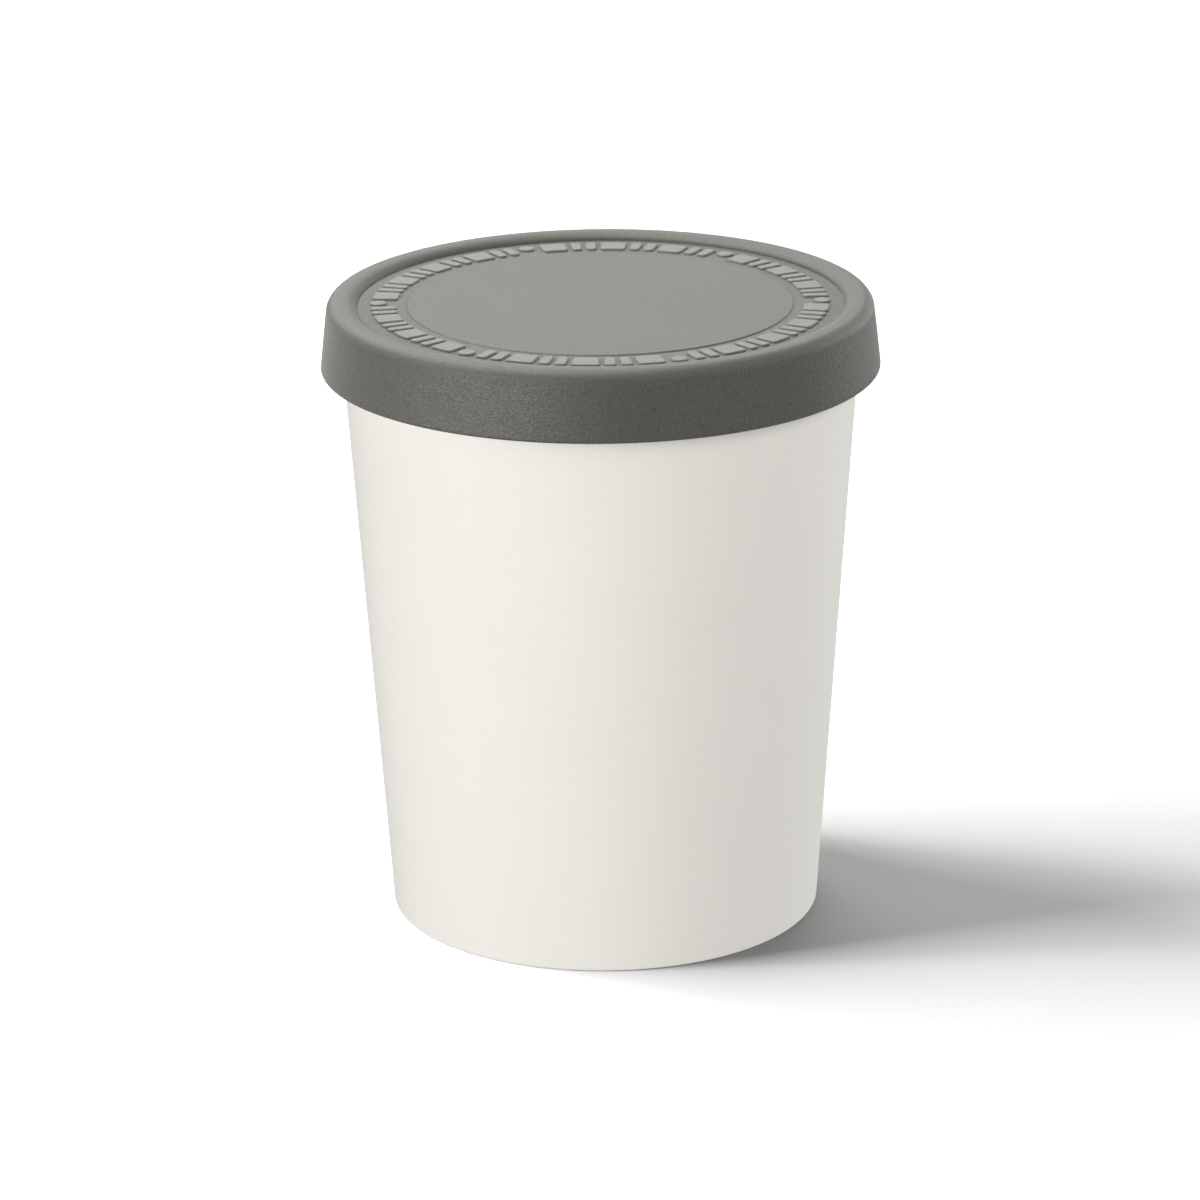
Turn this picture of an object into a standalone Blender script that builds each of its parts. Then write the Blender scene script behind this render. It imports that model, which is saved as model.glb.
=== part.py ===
"""A round ice cream tub, shut with a soft grey lid.

The tub is a plain tapered cup. It is shut and can't be seen into, so it is one solid.
The lid is a cap with a flared skirt, a broad rounded rim and a sunk top. In the sunk
top lie a ring of low raised bars and dots and a low round disc.
Lengths are in metres, +Z is up, and the origin is the middle of the base.
"""

import math

import bmesh
import bpy

# The whole
TOTAL_HEIGHT = 0.1342
GAP = 0.0003
SEGMENTS = 96

# The lid's outside
LID_RADIUS = 0.0590
LID_HEIGHT = 0.0147
LID_LEAN = 0.112
SHOULDER_RADIUS = 0.0025
FOOT_ROUNDING = 0.0005

# The lid's top, from the rim inwards
FLOOR_RADIUS = 0.0512
FLOOR_DEPTH = 0.0016
RIM_SLOPE = 0.0028
DISC_RADIUS = 0.0406
DISC_RISE = 0.0004
DISC_STEP = 0.0003

# The lid's inside
SKIRT_WALL = 0.0026
PLATE_THICKNESS = 0.0024

# The raised ring: runs of bars with a dot between one run and the next
BAND_RADIUS = 0.0455
BAR_LENGTH = 0.0056
BAR_GAP = 0.0009
CORNER_RADIUS = 0.0008
RELIEF = 0.0005
ROOT_DEPTH = 0.0006
DOT_RING_RADIUS = 0.0466
DOT_RADIUS = 0.00185
DOT_CLEARANCE = 0.0011
RUN_ANGLES = (69.7, 55.6, 54.7)
RUN_MARKS = (8, 6, 6)
FIRST_DOT_ANGLE = 179.6

# The tub
BASE_RADIUS = 0.0459
TUB_TAPER = 0.0697
BASE_ROUNDING = 0.0006
BRIM_ROUNDING = 0.0004

# Heights that follow
LID_FOOT = TOTAL_HEIGHT - LID_HEIGHT
FLOOR_HEIGHT = TOTAL_HEIGHT - FLOOR_DEPTH
CEILING_HEIGHT = FLOOR_HEIGHT - PLATE_THICKNESS
TUB_HEIGHT = CEILING_HEIGHT - GAP

# Colours, linear
TUB_COLOUR = (0.82, 0.80, 0.74, 1.0)
LID_COLOUR = (0.22, 0.215, 0.20, 1.0)


def clear_scene():
    """Removes whatever the open file holds."""
    for thing in list(bpy.data.objects):
        bpy.data.objects.remove(thing, do_unlink=True)


def collection(name):
    """A new collection under the scene."""
    made = bpy.data.collections.new(name)
    bpy.context.scene.collection.children.link(made)
    return made


def material(name, colour, roughness):
    """A plain Principled material."""
    made = bpy.data.materials.new(name)
    made.use_nodes = True
    shader = made.node_tree.nodes["Principled BSDF"]
    shader.inputs["Base Color"].default_value = colour
    shader.inputs["Roughness"].default_value = roughness
    shader.inputs["Metallic"].default_value = 0.0
    made.diffuse_color = colour
    return made


def arc(centre, radii, start, end, steps):
    """Points (r, z) of an arc about centre, from start to end in degrees, both ends in."""
    points = []
    for i in range(steps + 1):
        angle = math.radians(start + (end - start) * i / steps)
        r = centre[0] + radii[0] * math.cos(angle)
        z = centre[1] + radii[1] * math.sin(angle)
        points.append((r, z))
    return points


def turned(name, profile, parent):
    """A solid turned from a profile (r, z) that starts and ends on the axis, top first."""
    mesh = bpy.data.meshes.new(name)
    edges = [(i, i + 1) for i in range(len(profile) - 1)]
    mesh.from_pydata([(r, 0.0, z) for r, z in profile], edges, [])
    made = bpy.data.objects.new(name, mesh)
    parent.objects.link(made)
    screw = made.modifiers.new("Turn", "SCREW")
    screw.axis = "Z"
    screw.angle = math.tau
    screw.steps = SEGMENTS
    screw.render_steps = SEGMENTS
    screw.use_merge_vertices = True
    screw.merge_threshold = 0.00001
    screw.use_smooth_shade = True
    return made


def lid_outside(z):
    """The skirt's outer radius at a height: it leans inwards as it rises."""
    return LID_RADIUS - LID_LEAN * (z - LID_FOOT)


def tub_outside(z):
    """The tub's outer radius at a height: it widens as it rises."""
    return BASE_RADIUS + TUB_TAPER * z


def lid_profile():
    """Over the top from the axis, down the skirt, round its foot, and back up inside."""
    lean = math.degrees(math.atan(LID_LEAN))
    slant = math.cos(math.radians(lean))

    step = DISC_RADIUS - DISC_STEP / 2
    points = [(0.0, FLOOR_HEIGHT + DISC_RISE)]
    points.append((step, FLOOR_HEIGHT + DISC_RISE))
    points.append((step + DISC_STEP, FLOOR_HEIGHT))

    # The rim's inner side is a quarter of an ellipse, steepest at the sunk floor
    slope_centre = (FLOOR_RADIUS + RIM_SLOPE, FLOOR_HEIGHT)
    points += arc(slope_centre, (RIM_SLOPE, FLOOR_DEPTH), 180, 90, 6)

    shoulder_z = TOTAL_HEIGHT - SHOULDER_RADIUS
    shoulder_r = lid_outside(shoulder_z) - SHOULDER_RADIUS / slant
    radii = (SHOULDER_RADIUS, SHOULDER_RADIUS)
    points += arc((shoulder_r, shoulder_z), radii, 90, lean, 6)

    foot_z = LID_FOOT + FOOT_ROUNDING
    foot_r = lid_outside(foot_z) - FOOT_ROUNDING / slant
    radii = (FOOT_ROUNDING, FOOT_ROUNDING)
    points += arc((foot_r, foot_z), radii, lean, -90, 3)

    points.append((LID_RADIUS - SKIRT_WALL, LID_FOOT))
    points.append((lid_outside(CEILING_HEIGHT) - SKIRT_WALL, CEILING_HEIGHT))
    points.append((0.0, CEILING_HEIGHT))
    return points


def tub_profile():
    """From the axis over the brim, down the wall and round to the flat base."""
    taper = math.degrees(math.atan(TUB_TAPER))
    slant = math.cos(math.radians(taper))

    brim_z = TUB_HEIGHT - BRIM_ROUNDING
    brim_r = tub_outside(brim_z) - BRIM_ROUNDING / slant
    points = [(0.0, TUB_HEIGHT)]
    points += arc((brim_r, brim_z), (BRIM_ROUNDING, BRIM_ROUNDING), 90, -taper, 3)

    base_r = tub_outside(BASE_ROUNDING) - BASE_ROUNDING / slant
    radii = (BASE_ROUNDING, BASE_ROUNDING)
    points += arc((base_r, BASE_ROUNDING), radii, -taper, -90, 4)
    points.append((0.0, 0.0))
    return points


def stand_on_floor(mark, radius, angle):
    """Places a mark on the sunk floor at a radius and an angle, its foot in the plate."""
    turn = math.radians(angle)
    height = RELIEF + ROOT_DEPTH
    x = radius * math.cos(turn)
    y = radius * math.sin(turn)
    mark.location = (x, y, FLOOR_HEIGHT + RELIEF - height / 2)
    mark.rotation_euler = (0.0, 0.0, turn)


def bar(name, width, angle, parent):
    """A raised block that points at the axis, its corners rounded, bent to the ring."""
    mesh = bpy.data.meshes.new(name)
    block = bmesh.new()
    bmesh.ops.create_cube(block, size=1.0)
    size = (BAR_LENGTH, width, RELIEF + ROOT_DEPTH)
    bmesh.ops.scale(block, vec=size, verts=block.verts)
    upright = []
    for edge in block.edges:
        a, b = edge.verts
        if abs(a.co.z - b.co.z) > 0.5 * size[2]:
            upright.append(edge)
    bmesh.ops.bevel(
        block,
        geom=upright,
        offset=min(CORNER_RADIUS, 0.45 * width),
        segments=3,
        profile=0.5,
        affect="EDGES",
    )
    for vertex in block.verts:
        radius = BAND_RADIUS + vertex.co.x
        turn = vertex.co.y / BAND_RADIUS
        vertex.co.x = radius * math.cos(turn) - BAND_RADIUS
        vertex.co.y = radius * math.sin(turn)
    block.to_mesh(mesh)
    block.free()
    made = bpy.data.objects.new(name, mesh)
    parent.objects.link(made)
    stand_on_floor(made, BAND_RADIUS, angle)


def dot(name, angle, parent):
    """A round raised dot between two runs of bars."""
    mesh = bpy.data.meshes.new(name)
    disc = bmesh.new()
    bmesh.ops.create_cone(
        disc,
        cap_ends=True,
        segments=20,
        radius1=DOT_RADIUS,
        radius2=DOT_RADIUS,
        depth=RELIEF + ROOT_DEPTH,
    )
    disc.to_mesh(mesh)
    disc.free()
    made = bpy.data.objects.new(name, mesh)
    parent.objects.link(made)
    stand_on_floor(made, DOT_RING_RADIUS, angle)


def raised_ring(parent):
    """Six runs of bars and six dots, going clockwise seen from above, twice over."""
    start = FIRST_DOT_ANGLE
    clear = math.degrees((DOT_RADIUS + DOT_CLEARANCE) / BAND_RADIUS)
    gap = math.degrees(BAR_GAP / BAND_RADIUS)
    for run, span in enumerate(RUN_ANGLES * 2):
        dot(f"dot_{run}", start, parent)
        count = RUN_MARKS[run % len(RUN_MARKS)]
        pitch = (span - 2 * clear + gap) / count
        for mark in range(count):
            middle = start - clear - (mark + 0.5) * pitch + gap / 2
            # Whole blocks and blocks split in two take turns
            width = math.radians(pitch - gap) * BAND_RADIUS
            if mark % 2 == 0:
                bar(f"bar_{run}_{mark}", width, middle, parent)
                continue
            half = (width - BAR_GAP) / 2
            shift = math.degrees((half + BAR_GAP) / 2 / BAND_RADIUS)
            bar(f"bar_{run}_{mark}_a", half, middle + shift, parent)
            bar(f"bar_{run}_{mark}_b", half, middle - shift, parent)
        start -= span


def fuse(body, marks):
    """Joins the marks to the body with one union, and then removes them."""
    union = body.modifiers.new("Raised ring", "BOOLEAN")
    union.operation = "UNION"
    union.solver = "EXACT"
    union.operand_type = "COLLECTION"
    union.collection = marks
    bpy.context.view_layer.update()
    depsgraph = bpy.context.evaluated_depsgraph_get()
    joined = bpy.data.meshes.new_from_object(body.evaluated_get(depsgraph))
    body.modifiers.clear()
    body.data = joined
    for mark in list(marks.objects):
        bpy.data.objects.remove(mark, do_unlink=True)
    bpy.data.collections.remove(marks)


def finish(body, surface):
    """Gives a body its material and smooth shading with sharp edges kept."""
    body.data.materials.clear()
    body.data.materials.append(surface)
    body.data.shade_smooth()
    body.data.set_sharp_from_angle(angle=math.radians(35))


def build_tub(parent):
    """The tapered cup, one solid because it is shut."""
    tub = turned("tub", tub_profile(), parent)
    surface = material("tub_plastic", TUB_COLOUR, 0.45)
    tub.data.materials.append(surface)


def build_lid(parent):
    """The cap with its raised ring."""
    lid = turned("lid", lid_profile(), parent)
    marks = collection("raised ring")
    raised_ring(marks)
    fuse(lid, marks)
    finish(lid, material("lid_silicone", LID_COLOUR, 0.6))


clear_scene()
pieces = collection("ice cream tub")
build_tub(pieces)
build_lid(pieces)
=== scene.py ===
"""A shut ice cream tub: a tapered off-white cup under a soft grey lid with a raised ring.

Each piece is one closed surface, turned round the Z axis from a profile. The raised bars
and dots stand on the lid's sunk floor and are part of the lid's own surface.
"""

import math

import bpy
import numpy as np
from bpy.props import FloatProperty, FloatVectorProperty, IntVectorProperty, PointerProperty
from mathutils import Matrix, Vector


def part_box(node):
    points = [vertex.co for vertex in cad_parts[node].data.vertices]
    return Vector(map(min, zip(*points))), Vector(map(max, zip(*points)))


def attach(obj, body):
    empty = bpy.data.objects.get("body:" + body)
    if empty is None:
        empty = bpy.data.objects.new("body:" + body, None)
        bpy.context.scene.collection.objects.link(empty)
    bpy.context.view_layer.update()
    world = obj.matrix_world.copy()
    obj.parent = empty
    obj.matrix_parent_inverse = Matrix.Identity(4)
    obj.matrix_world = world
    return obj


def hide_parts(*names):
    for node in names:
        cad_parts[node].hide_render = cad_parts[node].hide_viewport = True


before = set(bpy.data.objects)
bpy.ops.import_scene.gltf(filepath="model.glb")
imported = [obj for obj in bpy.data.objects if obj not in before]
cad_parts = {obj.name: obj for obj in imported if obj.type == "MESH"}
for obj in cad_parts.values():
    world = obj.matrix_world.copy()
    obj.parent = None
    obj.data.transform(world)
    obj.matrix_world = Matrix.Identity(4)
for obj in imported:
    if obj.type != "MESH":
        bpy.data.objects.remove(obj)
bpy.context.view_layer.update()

bl_info = {
    "name": "Ice Cream Tub",
    "version": (1, 0, 0),
    "blender": (4, 5, 0),
    "location": "3D View > Sidebar > Ice Cream Tub",
    "description": "Makes a shut ice cream tub with a soft lid, and a pale studio round it",
    "category": "Object",
}

TUB_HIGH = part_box("tub")[1]
LID_LOW, LID_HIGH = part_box("lid")

TURN_STEPS = 192
# How far the painted crease shade reaches from the foot of the disc's step and of the rim's inner
# side
CREVICE_REACH = 0.0003
# The skirt's stronger grain starts and is whole at these depths under the rim
SKIRT_GRAIN_STARTS, SKIRT_GRAIN_WHOLE = 0.001, 0.0035


def length(name, description, default):
    """A size in metres."""
    return FloatProperty(
        name=name, description=description, default=default, unit="LENGTH", precision=5
    )


def number(name, description, default):
    """A plain number."""
    return FloatProperty(name=name, description=description, default=default, precision=3)


def angle(name, description, degrees):
    """An angle, given in degrees and kept in radians."""
    return FloatProperty(
        name=name,
        description=description,
        default=math.radians(degrees),
        subtype="ANGLE",
        unit="ROTATION",
    )


def colour(name, description, default):
    """A linear colour without alpha."""
    return FloatVectorProperty(
        name=name,
        description=description,
        default=default,
        subtype="COLOR",
        size=3,
        min=0.0,
        max=1.0,
    )


class TubSettings(bpy.types.PropertyGroup):
    """The tapered cup."""

    radius: length("Radius", "Widest radius, at the brim", TUB_HIGH.x)
    height: length("Height", "Height of the cup under the lid", TUB_HIGH.z)
    taper: number("Taper", "How much the radius grows for each metre of height", 0.0697)
    brim_rounding: length("Brim rounding", "Radius of the brim's edge", 0.0004)
    base_rounding: length("Base rounding", "Radius of the base's edge", 0.0006)
    shade: colour("Colour", "Colour of the moulded plastic", (0.867, 0.846, 0.785))
    roughness: number("Roughness", "Middle of the plastic's roughness", 0.42)


class LidSettings(bpy.types.PropertyGroup):
    """The soft cap."""

    radius: length("Radius", "Widest radius, at the foot of the skirt", LID_HIGH.x)
    foot: length("Foot", "Height of the skirt's foot above the table", LID_LOW.z)
    top: length("Top", "Height of the rim above the table", LID_HIGH.z)
    lean: number("Lean", "How much the skirt draws in for each metre that it rises", 0.112)
    shoulder_radius: length("Shoulder", "Radius from the rim to the skirt", 0.0025)
    foot_rounding: length("Foot rounding", "Radius of the skirt's lower edge", 0.0005)
    floor_radius: length("Floor radius", "Radius of the sunk floor", 0.0512)
    floor_depth: length("Floor depth", "Depth of the sunk floor under the rim", 0.0016)
    rim_slope: length("Rim slope", "Width of the rim's inner side", 0.0028)
    disc_radius: length("Disc radius", "Radius of the low round disc", 0.0406)
    disc_rise: length("Disc rise", "Height of the disc above the sunk floor", 0.0003)
    disc_step: length("Disc step", "Width of the disc's rounded step", 0.0004)
    skirt_wall: length("Skirt wall", "Thickness of the skirt", 0.0026)
    plate: length("Plate", "Thickness of the top under the sunk floor", 0.0024)
    shade: colour("Colour", "Colour of the soft lid", (0.0655, 0.0629, 0.0512))
    # The marks' paler colour is partly a paler finish and partly painted light: the light that
    # their raised tops catch above the shaded sunk floor
    mark_shade: colour("Mark colour", "Paler colour of the raised marks", (0.135, 0.132, 0.121))
    roughness: number("Roughness", "Middle of the lid's roughness", 0.40)
    shine: number("Shine", "Strength of the lid's reflections", 0.5)
    sheen: number("Sheen", "Strength of the lid's soft sheen at grazing angles", 0.2)
    top_grain: number("Top grain", "Strength of the fine grain on the lid's top", 0.42)
    skirt_grain: number("Skirt grain", "Strength of the fine grain on the lid's skirt", 1.20)
    top_relief: length("Top relief", "Height of the fine grain on the lid's top", 0.00004)
    skirt_relief: length("Skirt relief", "Height of the fine grain on the skirt", 0.00013)


class RingSettings(bpy.types.PropertyGroup):
    """The raised ring: runs of bars with a dot between one run and the next."""

    radius: length("Bar ring", "Radius of the ring through the bars' middles", 0.0455)
    bar_length: length("Bar length", "Length of a bar towards the axis", 0.0056)
    gap: length("Gap", "Gap between two bars", 0.0009)
    corner: length("Corner", "Radius of a bar's corners", 0.0008)
    relief: length("Relief", "Height of the marks above the sunk floor", 0.0005)
    crown: length("Crown", "Width over which a mark's edge is rounded", 0.0003)
    dot_ring: length("Dot ring", "Radius of the ring through the dots' middles", 0.0466)
    dot_radius: length("Dot radius", "Radius of a dot", 0.00185)
    dot_clearance: length("Dot clearance", "Gap between a dot and the next bar", 0.0011)
    first_dot: angle("First dot", "Where the first dot stands, anticlockwise from +X", 179.6)
    run_spans: FloatVectorProperty(
        name="Run spans",
        description="Angles from one dot to the next, clockwise, for half of the ring",
        default=[math.radians(span) for span in (69.7, 55.6, 54.7)],
        unit="ROTATION",
        size=3,
    )
    run_marks: IntVectorProperty(
        name="Run marks",
        description="Number of marks in each run, whole and split ones in turn",
        default=(8, 6, 6),
        size=3,
    )


class StageSettings(bpy.types.PropertyGroup):
    """The floor, the lights and the camera."""

    floor_shade: colour("Floor colour", "Colour of the pale floor", (0.25, 0.25, 0.25))
    floor_glow: number("Floor glow", "Brightness of the floor as the pieces see it", 0.54)
    surround: number("Surround", "Brightness of the white light from all round", 0.0)
    overhead: number("Overhead", "Power of the lid's soft box above, in watts", 35.0)
    back: number("Back", "Power of the lid's panel behind, in watts", 6.4)
    side: number("Side", "Power of the soft box at the front left, in watts", 14.3)
    fill: number("Fill", "Power of the soft box at the front right, in watts", 6.5)
    rim: number("Rim", "Power of the soft box at the back right, in watts", 6.3)
    floor_back: number("Floor, back", "Power of the floor's light behind, in watts", 142.0)
    floor_low: number("Floor, low", "Power of the floor's wide low light, in watts", 657.0)
    floor_small: number("Floor, small", "Power of the floor's small low light, in watts", 208.0)
    floor_front: number("Floor, front", "Power of the floor's light in front, in watts", 210.0)
    floor_wall: number("Floor, wall", "Power of the floor's light behind the tub, in watts", 82.0)
    floor_sky: number("Floor, sky", "Power of the wide light over the floor, in watts", 160.0)
    camera_distance: length("Camera distance", "From the tub's axis to the camera", 1.05435)
    camera_height: length("Camera height", "From the table to the camera", 0.42346)
    camera_pitch: angle("Camera pitch", "How far the camera looks down", 18.691)
    camera_yaw: angle("Camera yaw", "How far the camera looks to the right", -0.034)
    camera_roll: angle("Camera roll", "How far the camera leans", -0.552)
    lens: number("Lens", "Focal length in millimetres on a 36 mm sensor", 156.0)


def smooth(t):
    """An S-curve from 0 to 1: three t squared less two t cubed, held at its ends."""
    t = np.clip(t, 0.0, 1.0)
    return t * t * (3.0 - 2.0 * t)


def arc(centre, radii, start, end, steps):
    """Rows (r, z) of an arc: the centre plus the radii times cosine and sine of the angle."""
    turn = np.radians(np.linspace(start, end, steps + 1))
    r = centre[0] + radii[0] * np.cos(turn)
    z = centre[1] + radii[1] * np.sin(turn)
    return np.stack([r, z], axis=1)


def line(start, end, steps):
    """Rows (r, z) evenly along a straight stretch, without its two ends."""
    t = np.linspace(0.0, 1.0, steps + 1)[1:-1, None]
    return np.array(start) * (1.0 - t) + np.array(end) * t


def turn_rings(profile, angles):
    """A ring of points for each profile row: r times cosine, r times sine, and z."""
    x = profile[:, :1] * np.cos(angles)
    y = profile[:, :1] * np.sin(angles)
    z = np.broadcast_to(profile[:, 1:], x.shape)
    return np.stack([x, y, z], axis=2).reshape(-1, 3)


def ring_quads(first, rings, count):
    """Quads from each ring to the next, closed round the axis."""
    start = first + count * np.arange(rings - 1)[:, None]
    here = np.arange(count)
    ahead = (here + 1) % count
    corners = [start + here, start + count + here, start + count + ahead, start + ahead]
    return np.stack(corners, axis=2).reshape(-1, 4)


def pole_triangles(pole, first, count, closing):
    """Triangles from a ring to the point on the axis that opens or closes the surface."""
    here = first + np.arange(count)
    ahead = first + (np.arange(count) + 1) % count
    middle = np.full(count, pole)
    order = [here, middle, ahead] if closing else [middle, here, ahead]
    return np.stack(order, axis=1)


def stitch_triangles(first_a, angles_a, first_b, angles_b):
    """Triangles between two rings whose points stand at different angles.

    Both rings start at the same angle. The middles of all edges are taken in order round
    the axis: each edge joins the point that the other ring has reached by then.
    """
    count_a, count_b = len(angles_a), len(angles_b)
    middles_a = (angles_a + np.append(angles_a[1:], angles_a[0] + math.tau)) / 2
    middles_b = (angles_b + np.append(angles_b[1:], angles_b[0] + math.tau)) / 2
    a, b = np.arange(count_a), np.arange(count_b)
    reached_b = np.searchsorted(middles_b, middles_a) % count_b
    reached_a = np.searchsorted(middles_a, middles_b, side="right") % count_a
    on_a = np.stack([first_a + a, first_b + reached_b, first_a + (a + 1) % count_a], axis=1)
    on_b = np.stack([first_a + reached_a, first_b + b, first_b + (b + 1) % count_b], axis=1)
    return np.concatenate([on_a, on_b])


def smooth_mesh(name, points, quads, triangles):
    """A smooth mesh from points, four-cornered faces and three-cornered faces."""
    corners = np.concatenate([quads.ravel(), triangles.ravel()])
    sides = np.repeat([4, 3], [len(quads), len(triangles)])
    mesh = bpy.data.meshes.new(name)
    mesh.vertices.add(len(points))
    mesh.vertices.foreach_set("co", points.ravel())
    mesh.loops.add(len(corners))
    mesh.loops.foreach_set("vertex_index", corners)
    mesh.polygons.add(len(sides))
    mesh.polygons.foreach_set("loop_start", np.cumsum(sides) - sides)
    mesh.update(calc_edges=True)
    if mesh.validate():
        raise RuntimeError(f"the surface of {name} has faces that don't fit together")
    mesh.shade_smooth()
    return mesh


def home(name):
    """The named collection under the scene, made the first time that it is asked for."""
    found = bpy.data.collections.get(name)
    if found is None:
        found = bpy.data.collections.new(name)
        bpy.context.scene.collection.children.link(found)
    return found


def dress(name, mesh, material, node):
    """Puts a mesh into the scene in the place of its solid, on the one body."""
    mesh.materials.append(material)
    piece = bpy.data.objects.new(name, mesh)
    home("pieces").objects.link(piece)
    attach(piece, "root")
    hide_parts(node)
    return piece


def tub_profile(tub):
    """Rows (r, z) from the axis over the brim, down the straight wall and round the base."""
    lean = math.degrees(math.atan(tub.taper))
    slant = math.cos(math.radians(lean))
    brim_z = tub.height - tub.brim_rounding
    brim_r = tub.radius - tub.brim_rounding / slant
    base_z = tub.base_rounding
    base_r = tub.radius - tub.taper * (brim_z - base_z) - tub.base_rounding / slant
    brim_steps, base_steps, flat_steps, wall_steps = 6, 8, 8, 40
    brim = arc((brim_r, brim_z), (tub.brim_rounding,) * 2, 90.0, -lean, brim_steps)
    base = arc((base_r, base_z), (tub.base_rounding,) * 2, -lean, -90.0, base_steps)
    top = line((0.0, tub.height), brim[0], flat_steps)
    wall = line(brim[-1], base[0], wall_steps)
    under = line(base[-1], (0.0, 0.0), flat_steps)
    return np.concatenate([top, brim, wall, base, under])


def tub_mesh(tub):
    """The cup: its profile turned round the axis, with a point on the axis at each end."""
    angles = np.linspace(0.0, math.tau, TURN_STEPS, endpoint=False)
    profile = tub_profile(tub)
    rings = turn_rings(profile, angles)
    poles = np.array([(0.0, 0.0, tub.height), (0.0, 0.0, 0.0)])
    points = np.concatenate([rings, poles])
    quads = ring_quads(0, len(profile), TURN_STEPS)
    top = pole_triangles(len(rings), 0, TURN_STEPS, False)
    under = pole_triangles(len(rings) + 1, len(rings) - TURN_STEPS, TURN_STEPS, True)
    return smooth_mesh("cup", points, quads, np.concatenate([top, under]))


def lid_disc_profile(lid, end):
    """Rows (r, z) from the middle of the disc over its rounded step to the ring's start."""
    floor = lid.top - lid.floor_depth
    disc_top = floor + lid.disc_rise
    step_start = lid.disc_radius - lid.disc_step / 2
    disc_steps, verge_steps, margin_steps, step_points = 14, 6, 10, 10
    t = np.linspace(0.0, 1.0, step_points)
    r = step_start + lid.disc_step * t
    z = floor + lid.disc_rise * (1.0 - smooth(t))
    step = np.stack([r, z], axis=1)
    # Close rings on both sides of the step keep its shading off the flat disc and floor
    flat = (step_start - lid.disc_step, disc_top)
    disc = line((0.0, disc_top), flat, disc_steps)
    verge = line(flat, step[0], verge_steps)
    margin = line(step[-1], (end, floor), margin_steps)
    return np.concatenate([disc, [flat], verge, step, margin])


def lid_rim_profile(lid, start):
    """Rows (r, z) from the ring's end over the rim, down the skirt and back up inside."""
    floor = lid.top - lid.floor_depth
    lean = math.degrees(math.atan(lid.lean))
    slant = math.cos(math.radians(lean))
    foot_z = lid.foot + lid.foot_rounding
    shoulder_z = lid.top - lid.shoulder_radius
    foot_r = lid.radius - lid.foot_rounding / slant
    shoulder_r = lid.radius - lid.lean * (shoulder_z - foot_z) - lid.shoulder_radius / slant

    slope_steps, shoulder_steps, foot_steps = 18, 14, 8
    margin_steps, rim_steps, skirt_steps, inside_steps = 5, 3, 24, 6
    slope_centre = (lid.floor_radius + lid.rim_slope, floor)
    slope = arc(slope_centre, (lid.rim_slope, lid.floor_depth), 180, 90, slope_steps)
    shoulder = arc((shoulder_r, shoulder_z), (lid.shoulder_radius,) * 2, 90, lean, shoulder_steps)
    foot = arc((foot_r, foot_z), (lid.foot_rounding,) * 2, lean, -90, foot_steps)
    ceiling = floor - lid.plate
    inner_foot = (lid.radius - lid.skirt_wall, lid.foot)
    inner_top = (lid.radius - lid.lean * (ceiling - foot_z) - lid.skirt_wall, ceiling)
    return np.concatenate([
        line((start, floor), slope[0], margin_steps),
        slope,
        line(slope[-1], shoulder[0], rim_steps),
        shoulder,
        line(shoulder[-1], foot[0], skirt_steps),
        foot,
        np.array([inner_foot]),
        line(inner_foot, inner_top, inside_steps),
        np.array([inner_top]),
        line(inner_top, (0.0, ceiling), inside_steps),
    ])


def ring_cells(ring):
    """The marks of the raised ring, one row each, clockwise from the first dot.

    A row holds the middle's angle, the middle's radius, half the length towards the axis,
    half the width round it, the corner radius, and the free margin round the mark.
    """
    dot_free = ring.dot_clearance - ring.gap / 2
    clear = (ring.dot_radius + ring.dot_clearance) / ring.radius
    gap = ring.gap / ring.radius
    cells = []
    start = ring.first_dot
    for run in range(2 * len(ring.run_spans)):
        span = ring.run_spans[run % len(ring.run_spans)]
        count = ring.run_marks[run % len(ring.run_marks)]
        dot = ring.dot_radius
        cells.append((start, ring.dot_ring, dot, dot, dot, dot_free))
        pitch = (span - 2 * clear + gap) / count
        width = (pitch - gap) * ring.radius
        for mark in range(count):
            middle = start - clear - (mark + 0.5) * pitch + gap / 2
            split = mark % 2 == 1
            half_width = (width - ring.gap) / 4 if split else width / 2
            shift = (half_width + ring.gap / 2) / ring.radius
            for turn in ((shift, -shift) if split else (0.0,)):
                place = (middle + turn, ring.radius, ring.bar_length / 2, half_width)
                cells.append(place + (ring.corner, ring.gap / 2))
        start -= span
    return np.array(cells)


def mark_lines(half, corner, free, crown, foot):
    """Distances from a mark's middle at which lines of the grid run, on both sides of it.

    They are the middle, the corner's start, a few even steps out to the crown, five over
    the crown at even angles of its quarter ellipse, the foot, and the free margin's end.
    """
    over_crown = half - crown * (1.0 - np.cos(np.linspace(0.0, math.pi / 2, 5)))
    inside = np.linspace(half - corner, half - crown, 4)[:-1]
    outside = [half + foot, half + free]
    lines = np.concatenate([[0.0], inside, over_crown, outside])
    return np.concatenate([-lines, lines])


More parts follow.
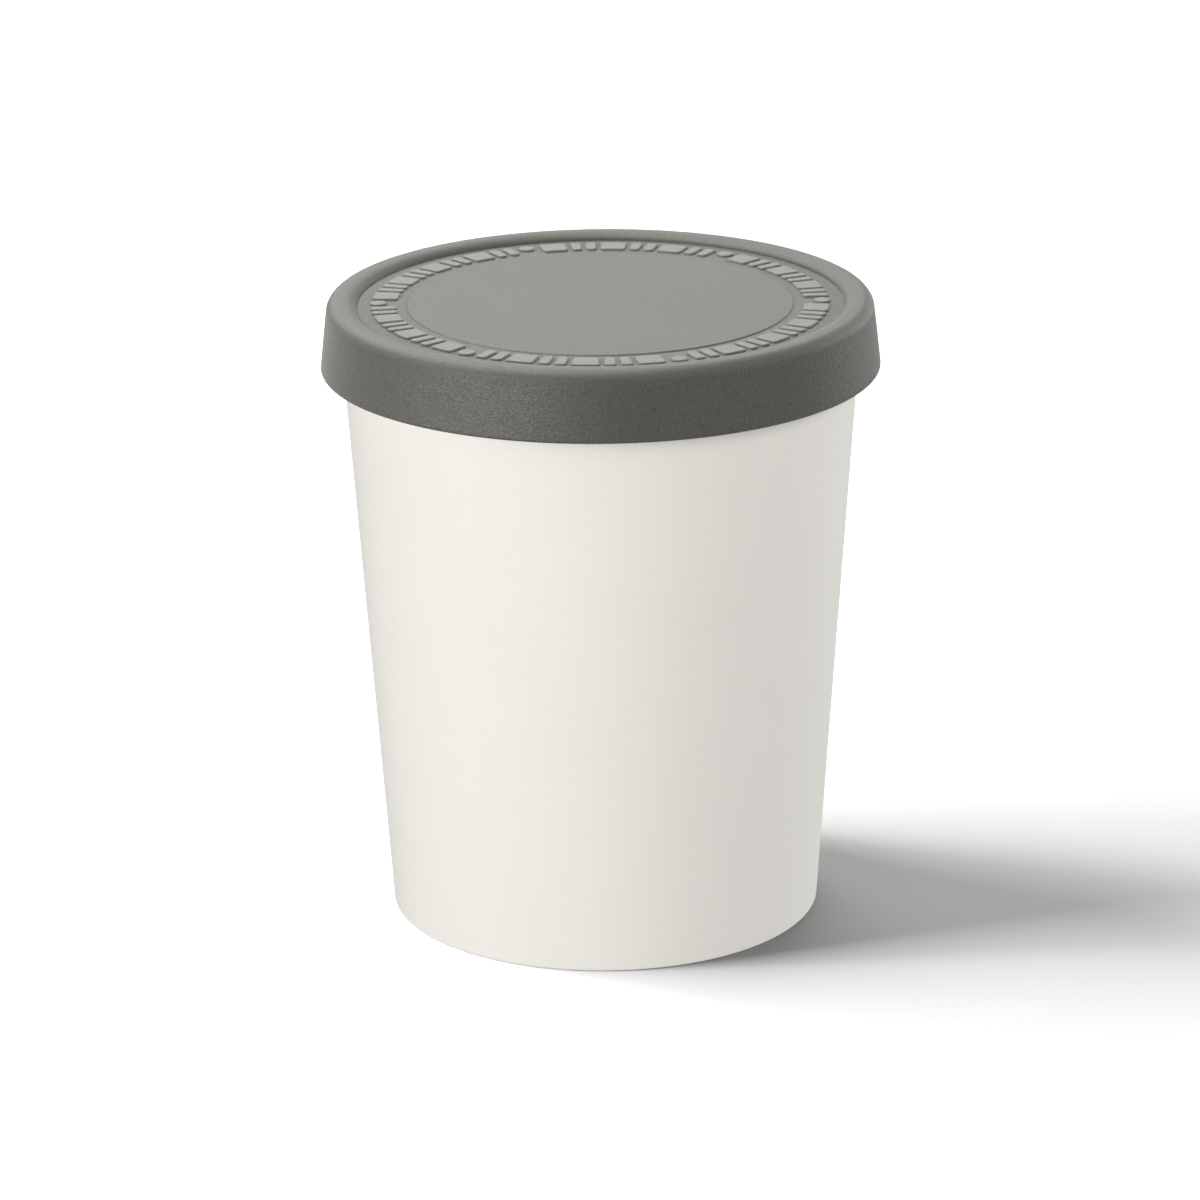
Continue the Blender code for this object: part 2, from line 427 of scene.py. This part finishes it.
def ring_grid(ring, start, end):
    """The sunk floor's ring with its marks, as a grid of radii by angles.

    The grid's lines crowd at the marks' edges. Round each corner they are bent: a point
    whose larger distance from the corner's centre is m moves onto the circle of radius m,
    and the bend fades out over the free margin. The height over the floor is the relief
    times a quarter ellipse that rises from the mark's outline over the crown's width.
    It gives the angles, the bent radii, the bent angles, the height and the foot mask.
    """
    foot, foot_blur = 0.15 * ring.crown, 0.6 * ring.crown
    places, tolerance = 6, 1e-7
    cells = ring_cells(ring)
    angles, owners, radii = [], [], [np.array([start, end])]
    for index, (middle, centre, _, half_width, corner, free) in enumerate(cells):
        across = mark_lines(half_width, corner, free, ring.crown, foot)
        angles.append(middle + across / centre)
        owners.append(np.full(len(across), index))
    for _, centre, half_length, _, corner, free in cells[:2]:
        radii.append(centre + mark_lines(half_length, corner, free, ring.crown, foot))
    first = cells[0, 0]
    turn = np.round(np.mod(np.concatenate(angles) - first, math.tau), places)
    turn[turn >= round(math.tau, places)] = 0.0
    turn, picked = np.unique(turn, return_index=True)
    owner = cells[np.concatenate(owners)[picked]]
    radius = np.unique(np.round(np.concatenate(radii), places))
    radius = radius[(radius >= start - tolerance) & (radius <= end + tolerance)]

    middle, centre, half_length, half_width, corner, free = owner.T
    x = radius[:, None] - centre
    away = np.mod(turn + first - middle + math.pi, math.tau) - math.pi
    y = np.broadcast_to(away * centre, x.shape)
    past_x = np.maximum(np.abs(x) - (half_length - corner), 0.0)
    past_y = np.maximum(np.abs(y) - (half_width - corner), 0.0)
    far = np.maximum(past_x, past_y)
    distance = np.maximum(np.hypot(past_x, past_y), 1e-12)
    fade = np.clip((far - corner - foot) / (free - foot), 0.0, 1.0)
    bend = (far / distance) * (1.0 - fade) + fade
    bend = np.where(np.minimum(past_x, past_y) > 0.0, bend, 1.0)
    x = x + np.sign(x) * past_x * (bend - 1.0)
    y = y + np.sign(y) * past_y * (bend - 1.0)

    inset = np.clip((corner - far) / ring.crown, 0.0, 1.0)
    height = ring.relief * np.sqrt(1.0 - (1.0 - inset) ** 2)
    foot_mask = 1.0 - smooth(np.abs(far - corner) / foot_blur)
    return turn + first, centre + x, middle + y / centre, height, foot_mask


def lid_mesh(lid, ring):
    """The cap: disc, ring of marks, and rim with skirt, three stretches stitched together.

    Two values ride on its points: raised is 1 on top of a mark, and crevice is 1 along the
    foot of a mark, of the disc's step and of the rim's inner side. The material darkens the
    lid's colour along crevice as painted shade.
    """
    floor = lid.top - lid.floor_depth
    start = ring.radius - ring.bar_length / 2 - ring.gap / 2
    end = ring.dot_ring + ring.dot_radius + ring.dot_clearance - ring.gap / 2
    fine, radius, bent, height, foot_mask = ring_grid(ring, start, end)
    coarse = ring.first_dot + np.linspace(0.0, math.tau, TURN_STEPS, endpoint=False)

    disc = lid_disc_profile(lid, start)
    rim = lid_rim_profile(lid, end)
    disc_points = turn_rings(disc, coarse)
    rim_points = turn_rings(rim, coarse)
    marks = np.stack([radius * np.cos(bent), radius * np.sin(bent), floor + height], axis=2)
    poles = np.array([
        (0.0, 0.0, floor + lid.disc_rise),
        (0.0, 0.0, floor - lid.plate),
    ])
    points = np.concatenate([disc_points, marks.reshape(-1, 3), rim_points, poles])

    marks_at = len(disc_points)
    rim_at = marks_at + radius.size
    poles_at = rim_at + len(rim_points)
    last_disc = marks_at - TURN_STEPS
    last_mark = rim_at - len(fine)
    quads = np.concatenate([
        ring_quads(0, len(disc), TURN_STEPS),
        ring_quads(marks_at, len(radius), len(fine)),
        ring_quads(rim_at, len(rim), TURN_STEPS),
    ])
    triangles = np.concatenate([
        pole_triangles(poles_at, 0, TURN_STEPS, False),
        stitch_triangles(last_disc, coarse, marks_at, fine),
        stitch_triangles(last_mark, fine, rim_at, coarse),
        pole_triangles(poles_at + 1, poles_at - TURN_STEPS, TURN_STEPS, True),
    ])
    mesh = smooth_mesh("cap", points, quads, triangles)

    raised = np.zeros(len(points))
    raised[marks_at:rim_at] = (height / ring.relief).ravel()
    across = np.hypot(points[:, 0], points[:, 1])
    on_top = points[:, 2] > floor - CREVICE_REACH
    step_foot = np.abs(across - lid.disc_radius - lid.disc_step / 2) / CREVICE_REACH
    rim_foot = np.abs(across - lid.floor_radius) / CREVICE_REACH
    crevice = (1.0 - smooth(np.minimum(step_foot, rim_foot))) * on_top
    crevice[marks_at:rim_at] = np.maximum(crevice[marks_at:rim_at], foot_mask.ravel())
    for name, values in (("raised", raised), ("crevice", crevice)):
        mesh.attributes.new(name, "FLOAT", "POINT").data.foreach_set("value", values)
    return mesh


def feed(tree, socket, value):
    """Links a socket to an input, or gives the input a plain value."""
    if isinstance(value, bpy.types.NodeSocket):
        tree.links.new(value, socket)
    else:
        socket.default_value = value


def add_node(tree, kind, settings=None, **inputs):
    """A node with its settings and inputs. An input that is a socket is linked."""
    made = tree.nodes.new(kind)
    for key, value in (settings or {}).items():
        setattr(made, key, value)
    for key, value in inputs.items():
        feed(tree, made.inputs[key.replace("_", " ")], value)
    return made


def mix_colours(tree, amount, first, second, blend="MIX"):
    """A colour mix of two inputs, by an amount."""
    made = tree.nodes.new("ShaderNodeMix")
    made.data_type = "RGBA"
    made.blend_type = blend
    # The colour sockets of this node are the seventh and the eighth
    for place, value in ((0, amount), (6, first), (7, second)):
        feed(tree, made.inputs[place], value)
    return made.outputs[2]


def math_node(tree, operation, *values):
    """A Math node on up to three numbers or sockets."""
    made = tree.nodes.new("ShaderNodeMath")
    made.operation = operation
    for socket, value in zip(made.inputs, values):
        feed(tree, socket, value)
    return made.outputs[0]


def new_group(name, inputs, outputs):
    """An empty node group. Inputs are (name, kind, default), outputs are (name, kind)."""
    group = bpy.data.node_groups.new(name, "ShaderNodeTree")
    for label, kind, default in inputs:
        socket = group.interface.new_socket(label, in_out="INPUT", socket_type=kind)
        if default is not None:
            socket.default_value = default
    for label, kind in outputs:
        group.interface.new_socket(label, in_out="OUTPUT", socket_type=kind)
    return group, group.nodes.new("NodeGroupInput"), group.nodes.new("NodeGroupOutput")


def mottle_group():
    """Cloudy patches: a colour made a little lighter and darker at two sizes."""
    group, source, sink = new_group(
        "Mottle",
        [
            ("Vector", "NodeSocketVector", None),
            ("Colour", "NodeSocketColor", (0.5, 0.5, 0.5, 1.0)),
            ("Broad Scale", "NodeSocketFloat", 60.0),
            ("Fine Scale", "NodeSocketFloat", 700.0),
            ("Amount", "NodeSocketFloat", 0.1),
        ],
        [("Colour", "NodeSocketColor"), ("Cloud", "NodeSocketFloat")],
    )
    place = source.outputs["Vector"]
    broad = add_node(
        group, "ShaderNodeTexNoise", Vector=place, Scale=source.outputs["Broad Scale"], Detail=3.0
    )
    fine = add_node(
        group, "ShaderNodeTexNoise", Vector=place, Scale=source.outputs["Fine Scale"], Detail=2.0
    )
    both = math_node(group, "ADD", broad.outputs[0], fine.outputs[0])
    swing = math_node(group, "SUBTRACT", both, 1.0)
    gain = math_node(group, "MULTIPLY_ADD", swing, source.outputs["Amount"], 1.0)
    colour_in = source.outputs["Colour"]
    scaling = {"operation": "SCALE"}
    scaled = add_node(group, "ShaderNodeVectorMath", scaling, Vector=colour_in, Scale=gain)
    group.links.new(scaled.outputs[0], sink.inputs["Colour"])
    group.links.new(broad.outputs[0], sink.inputs["Cloud"])
    return group


def speck_group():
    """Specks: small round spots in the cells where a random value passes a share."""
    group, source, sink = new_group(
        "Specks",
        [
            ("Vector", "NodeSocketVector", None),
            ("Scale", "NodeSocketFloat", 300.0),
            ("Share", "NodeSocketFloat", 0.05),
            ("Size", "NodeSocketFloat", 0.2),
        ],
        [("Mask", "NodeSocketFloat")],
    )
    cells = add_node(
        group,
        "ShaderNodeTexVoronoi",
        Vector=source.outputs["Vector"],
        Scale=source.outputs["Scale"],
    )
    random = add_node(group, "ShaderNodeSeparateColor", Color=cells.outputs["Color"])
    chosen = math_node(group, "LESS_THAN", random.outputs[0], source.outputs["Share"])
    near = math_node(group, "DIVIDE", cells.outputs["Distance"], source.outputs["Size"])
    spot = math_node(group, "SUBTRACT", 1.0, near)
    spot = math_node(group, "MAXIMUM", spot, 0.0)
    mask = math_node(group, "MULTIPLY", spot, chosen)
    group.links.new(mask, sink.inputs["Mask"])
    return group


def grain_group():
    """Moulded grain: a fine noise and a coarser one as relief, and their mask."""
    group, source, sink = new_group(
        "Moulded Grain",
        [
            ("Vector", "NodeSocketVector", None),
            ("Fine Scale", "NodeSocketFloat", 3500.0),
            ("Coarse Scale", "NodeSocketFloat", 900.0),
            ("Coarse Share", "NodeSocketFloat", 0.3),
            ("Relief", "NodeSocketFloat", 0.00002),
        ],
        [("Normal", "NodeSocketVector"), ("Grain", "NodeSocketFloat")],
    )
    place = source.outputs["Vector"]
    fine = add_node(
        group, "ShaderNodeTexNoise", Vector=place, Scale=source.outputs["Fine Scale"], Detail=2.0
    )
    coarse = add_node(
        group, "ShaderNodeTexNoise", Vector=place, Scale=source.outputs["Coarse Scale"], Detail=2.0
    )
    mixed = add_node(
        group,
        "ShaderNodeMix",
        Factor=source.outputs["Coarse Share"],
        A=fine.outputs[0],
        B=coarse.outputs[0],
    )
    bump = add_node(
        group, "ShaderNodeBump", Height=mixed.outputs[0], Distance=source.outputs["Relief"]
    )
    group.links.new(bump.outputs["Normal"], sink.inputs["Normal"])
    group.links.new(mixed.outputs[0], sink.inputs["Grain"])
    return group


def shared_group(name, maker):
    """The named node group, made the first time that it is asked for."""
    return bpy.data.node_groups.get(name) or maker()


def place_group(tree, group, **inputs):
    """A node group in a material, with its values."""
    made = tree.nodes.new("ShaderNodeGroup")
    made.node_tree = group
    for key, value in inputs.items():
        feed(tree, made.inputs[key.replace("_", " ")], value)
    return made


def new_material(name):
    """A material with its Principled shader and the Object coordinates."""
    made = bpy.data.materials.new(name)
    made.use_nodes = True
    tree = made.node_tree
    shader = tree.nodes["Principled BSDF"]
    place = tree.nodes.new("ShaderNodeTexCoord").outputs["Object"]
    return made, tree, shader, place


def spread(tree, value, low, high):
    """A value from 0 to 1 spread between a low and a high number."""
    made = add_node(tree, "ShaderNodeMapRange", Value=value, To_Min=low, To_Max=high)
    return made.outputs["Result"]


def satin_plastic(tub):
    """Satin off-white plastic: faint clouds, a few tiny dark specks and soft waves."""
    made, tree, shader, place = new_material("satin_plastic")
    mottle = place_group(
        tree,
        shared_group("Mottle", mottle_group),
        Vector=place,
        Colour=(*tub.shade, 1.0),
        Broad_Scale=45.0,
        Fine_Scale=420.0,
        Amount=0.03,
    )
    specks = place_group(
        tree,
        shared_group("Specks", speck_group),
        Vector=place,
        Scale=350.0,
        Share=0.02,
        Size=0.07,
    )
    speck_strength, roughness_swing = 0.5, 0.08
    dark = (0.30, 0.27, 0.22, 1.0)
    faint = math_node(tree, "MULTIPLY", specks.outputs["Mask"], speck_strength)
    speckled = mix_colours(tree, faint, mottle.outputs["Colour"], dark)
    feed(tree, shader.inputs["Base Color"], speckled)
    grain = place_group(
        tree,
        shared_group("Moulded Grain", grain_group),
        Vector=place,
        Fine_Scale=1800.0,
        Coarse_Scale=160.0,
        Coarse_Share=0.85,
        Relief=0.00006,
    )
    glossiest, dullest = tub.roughness - roughness_swing, tub.roughness + roughness_swing
    rough = spread(tree, mottle.outputs["Cloud"], glossiest, dullest)
    feed(tree, shader.inputs["Roughness"], rough)
    feed(tree, shader.inputs["Normal"], grain.outputs["Normal"])
    return made


def soft_silicone(lid):
    """Soft grey silicone: fine sparkling grain, clouds, pale dust, painted crease shade, paler
    raised marks.
    """
    made, tree, shader, place = new_material("soft_silicone")
    raised = add_node(tree, "ShaderNodeAttribute", {"attribute_name": "raised"}).outputs["Fac"]
    crevice = add_node(tree, "ShaderNodeAttribute", {"attribute_name": "crevice"}).outputs["Fac"]
    # Raised tops get the paler mark colour: partly a paler finish, partly painted light for the
    # light that they catch above the shaded sunk floor
    plain = mix_colours(tree, raised, (*lid.shade, 1.0), (*lid.mark_shade, 1.0))
    height = add_node(tree, "ShaderNodeSeparateXYZ", Vector=place).outputs["Z"]
    skirt = add_node(
        tree,
        "ShaderNodeMapRange",
        Value=height,
        From_Min=LID_HIGH.z - SKIRT_GRAIN_STARTS,
        From_Max=LID_HIGH.z - SKIRT_GRAIN_WHOLE,
    ).outputs["Result"]
    clouds = place_group(
        tree,
        shared_group("Mottle", mottle_group),
        Vector=place,
        Colour=plain,
        Broad_Scale=55.0,
        Fine_Scale=900.0,
        Amount=0.12,
    )
    mottle = place_group(
        tree,
        shared_group("Mottle", mottle_group),
        Vector=place,
        Colour=clouds.outputs["Colour"],
        Broad_Scale=2400.0,
        Fine_Scale=4200.0,
        Amount=spread(tree, skirt, lid.top_grain, lid.skirt_grain),
    )
    dust = place_group(
        tree,
        shared_group("Specks", speck_group),
        Vector=place,
        Scale=900.0,
        Share=0.06,
        Size=0.22,
    )
    dust_strength, dust_colour = 0.12, (0.40, 0.39, 0.36, 1.0)
    # Painted shade: the crevice mask darkens the lid's colour towards dark brown along the foot of
    # each mark, of the disc's step and of the rim's inner side
    crease_shade_strength, crease_shade_colour = 0.08, (0.035, 0.029, 0.022, 1.0)
    pale = math_node(tree, "MULTIPLY", dust.outputs["Mask"], dust_strength)
    dusty = mix_colours(tree, pale, mottle.outputs["Colour"], dust_colour)
    crease_shaded = math_node(tree, "MULTIPLY", crevice, crease_shade_strength)
    feed(tree, shader.inputs["Base Color"], mix_colours(tree, crease_shaded, dusty, crease_shade_colour))
    grain = place_group(
        tree,
        shared_group("Moulded Grain", grain_group),
        Vector=place,
        Fine_Scale=2600.0,
        Coarse_Scale=1000.0,
        Coarse_Share=0.2,
        Relief=spread(tree, skirt, lid.top_relief, lid.skirt_relief),
    )
    # The grain's gloss swings from dull to shiny, further on the skirt than on the top
    top_dull, skirt_dull, skirt_gloss = 0.35, 0.42, 0.30
    dullest = spread(tree, skirt, lid.roughness + top_dull, lid.roughness + skirt_dull)
    glossiest = spread(tree, skirt, lid.roughness, lid.roughness - skirt_gloss)
    rough = spread(tree, mottle.outputs["Cloud"], dullest, glossiest)
    feed(tree, shader.inputs["Roughness"], rough)
    feed(tree, shader.inputs["Normal"], grain.outputs["Normal"])
    shader.inputs["Specular IOR Level"].default_value = lid.shine
    shader.inputs["Sheen Weight"].default_value = lid.sheen
    shader.inputs["Sheen Roughness"].default_value = 0.4
    return made


def floor_paper(stage):
    """Plain pale paper. The camera sees the shadows on it, and the pieces see an even glow."""
    made, tree, shader, place = new_material("floor_paper")
    mottle = place_group(
        tree,
        shared_group("Mottle", mottle_group),
        Vector=place,
        Colour=(*stage.floor_shade, 1.0),
        Broad_Scale=3.0,
        Fine_Scale=40.0,
        Amount=0.01,
    )
    tree.links.new(mottle.outputs["Colour"], shader.inputs["Base Color"])
    shader.inputs["Roughness"].default_value = 0.95
    shader.inputs["Specular IOR Level"].default_value = 0.0
    glow = tree.nodes.new("ShaderNodeEmission").outputs["Emission"]
    glow.node.inputs["Strength"].default_value = stage.floor_glow
    seen = tree.nodes.new("ShaderNodeLightPath").outputs["Is Camera Ray"]
    either = tree.nodes.new("ShaderNodeMixShader")
    tree.links.new(seen, either.inputs[0])
    tree.links.new(glow, either.inputs[1])
    tree.links.new(shader.outputs["BSDF"], either.inputs[2])
    tree.links.new(either.outputs["Shader"], tree.nodes["Material Output"].inputs["Surface"])
    return made


# Name, azimuth and elevation in degrees, distance and size in metres, the setting that
# holds the power, and the collection that it lights
SOFT_BOXES = (
    ("overhead box", 160.0, 68.0, 1.3, (1.5, 1.3), "overhead", "lid alone"),
    ("back panel", 112.0, 32.0, 1.3, (1.5, 0.6), "back", "lid alone"),
    ("side box", 222.0, 8.0, 1.2, (1.5, 0.6), "side", "pieces"),
    ("fill box", 325.0, 25.0, 1.2, (1.3, 0.7), "fill", "pieces"),
    ("rim box", 35.0, 15.0, 1.2, (1.0, 0.7), "rim", "pieces"),
    ("floor light back", 150.0, 52.0, 3.0, (0.75, 0.75), "floor_back", "floor"),
    ("floor light low", 178.0, 8.0, 3.0, (1.2, 0.4), "floor_low", "floor"),
    ("floor light small", 160.0, 14.0, 3.0, (0.6, 0.6), "floor_small", "floor"),
    ("floor light front", 195.0, 40.0, 3.0, (0.75, 0.9), "floor_front", "floor"),
    ("floor light wall", 90.0, 40.0, 2.5, (2.0, 2.0), "floor_wall", "floor"),
    ("floor sky", 110.0, 89.0, 2.5, (6.0, 6.0), "floor_sky", "floor"),
)


def soft_box(name, azimuth, elevation, distance, size, power, lit):
    """An area light that looks at the tub's middle and lights one collection.

    The azimuth is in degrees anticlockwise from +X, and the elevation above the floor.
    """
    light = bpy.data.lights.new(name, "AREA")
    light.shape = "RECTANGLE"
    light.size, light.size_y = size
    light.energy = power
    made = bpy.data.objects.new(name, light)
    around, up = math.radians(azimuth), math.radians(elevation)
    away = Vector((math.cos(around) * math.cos(up), math.sin(around) * math.cos(up), math.sin(up)))
    made.location = Vector((0.0, 0.0, LID_HIGH.z / 2)) + distance * away
    made.rotation_euler = away.to_track_quat("Z", "Y").to_euler()
    made.light_linking.receiver_collection = home(lit)
    home("lights").objects.link(made)
    return made


def pale_floor(stage):
    """A wide flat floor, in a collection of its own."""
    half = 4.0
    mesh = bpy.data.meshes.new("floor")
    corners = [(-half, -half, 0.0), (half, -half, 0.0), (half, half, 0.0), (-half, half, 0.0)]
    mesh.from_pydata(corners, [], [(0, 1, 2, 3)])
    mesh.materials.append(floor_paper(stage))
    floor = bpy.data.objects.new("floor", mesh)
    home("floor").objects.link(floor)


def white_surround(stage):
    """White light from all round, which is switched off at 0."""
    world = bpy.data.worlds.new("surround")
    world.use_nodes = True
    background = world.node_tree.nodes["Background"]
    background.inputs["Color"].default_value = (1.0, 1.0, 1.0, 1.0)
    background.inputs["Strength"].default_value = stage.surround
    bpy.context.scene.world = world


def studio_lights(stage):
    """The soft boxes of the table. Some light the lid alone, some the pieces, some the floor."""
    for name, azimuth, elevation, distance, size, setting, lit in SOFT_BOXES:
        soft_box(name, azimuth, elevation, distance, size, getattr(stage, setting), lit)


def stage_camera(stage):
    """A long lens that looks down at the tub, turned by its yaw, pitch and roll."""
    down, aside, lean = stage.camera_pitch, stage.camera_yaw, stage.camera_roll
    forward = Vector((
        math.sin(aside) * math.cos(down), math.cos(aside) * math.cos(down), -math.sin(down)
    ))
    level = Vector((math.cos(aside), -math.sin(aside), 0.0))
    upward = level.cross(forward)
    right = math.cos(lean) * level + math.sin(lean) * upward
    up = -math.sin(lean) * level + math.cos(lean) * upward
    data = bpy.data.cameras.new("camera")
    data.lens = stage.lens
    data.sensor_width = 36.0
    data.clip_start, data.clip_end = 0.01, 50.0
    camera = bpy.data.objects.new("camera", data)
    turn = Matrix((right, up, -forward)).transposed().to_4x4()
    place = Vector((0.0, -stage.camera_distance, stage.camera_height))
    camera.matrix_world = Matrix.Translation(place) @ turn
    home("lights").objects.link(camera)
    bpy.context.scene.camera = camera


class ICECREAM_OT_make_tub(bpy.types.Operator):
    """Make the tapered cup in its satin plastic"""

    bl_idname = "icecream.make_tub"
    bl_label = "Make Tub"

    def execute(self, context):
        tub = context.scene.icecream_tub
        piece = dress("cup", tub_mesh(tub), satin_plastic(tub), "tub")
        return {"FINISHED"}


class ICECREAM_OT_make_lid(bpy.types.Operator):
    """Make the soft lid with its raised ring"""

    bl_idname = "icecream.make_lid"
    bl_label = "Make Lid"

    def execute(self, context):
        lid = context.scene.icecream_lid
        piece = dress("cap", lid_mesh(lid, context.scene.icecream_ring), soft_silicone(lid), "lid")
        home("lid alone").objects.link(piece)
        return {"FINISHED"}


class ICECREAM_OT_make_stage(bpy.types.Operator):
    """Make the pale floor, the soft lights and the camera"""

    bl_idname = "icecream.make_stage"
    bl_label = "Make Stage"

    def execute(self, context):
        stage = context.scene.icecream_stage
        context.scene.view_settings.view_transform = "Standard"
        pale_floor(stage)
        white_surround(stage)
        studio_lights(stage)
        stage_camera(stage)
        return {"FINISHED"}


class ICECREAM_PT_panel(bpy.types.Panel):
    """The settings and the three makers in the 3D view's sidebar"""

    bl_idname = "ICECREAM_PT_panel"
    bl_label = "Ice Cream Tub"
    bl_space_type = "VIEW_3D"
    bl_region_type = "UI"
    bl_category = "Ice Cream Tub"

    def draw(self, context):
        groups = {
            "icecream_tub": "icecream.make_tub",
            "icecream_lid": None,
            "icecream_ring": "icecream.make_lid",
            "icecream_stage": "icecream.make_stage",
        }
        for group, operator in groups.items():
            box = self.layout.box()
            settings = getattr(context.scene, group)
            for name in settings.__annotations__:
                box.prop(settings, name)
            if operator:
                box.operator(operator)


SETTINGS = {
    "icecream_tub": TubSettings,
    "icecream_lid": LidSettings,
    "icecream_ring": RingSettings,
    "icecream_stage": StageSettings,
}
OTHERS = (
    ICECREAM_OT_make_tub,
    ICECREAM_OT_make_lid,
    ICECREAM_OT_make_stage,
    ICECREAM_PT_panel,
)


def register():
    """Registers the classes and puts the settings on the scene."""
    for kind in (*SETTINGS.values(), *OTHERS):
        bpy.utils.register_class(kind)
    for name, kind in SETTINGS.items():
        setattr(bpy.types.Scene, name, PointerProperty(type=kind))


def unregister():
    """Takes the settings and the classes away again."""
    for name in SETTINGS:
        delattr(bpy.types.Scene, name)
    for kind in reversed((*SETTINGS.values(), *OTHERS)):
        bpy.utils.unregister_class(kind)


def main():
    """Makes the pieces and the stage."""
    register()
    bpy.ops.icecream.make_tub()
    bpy.ops.icecream.make_lid()
    bpy.ops.icecream.make_stage()


if __name__ == "__main__":
    main()
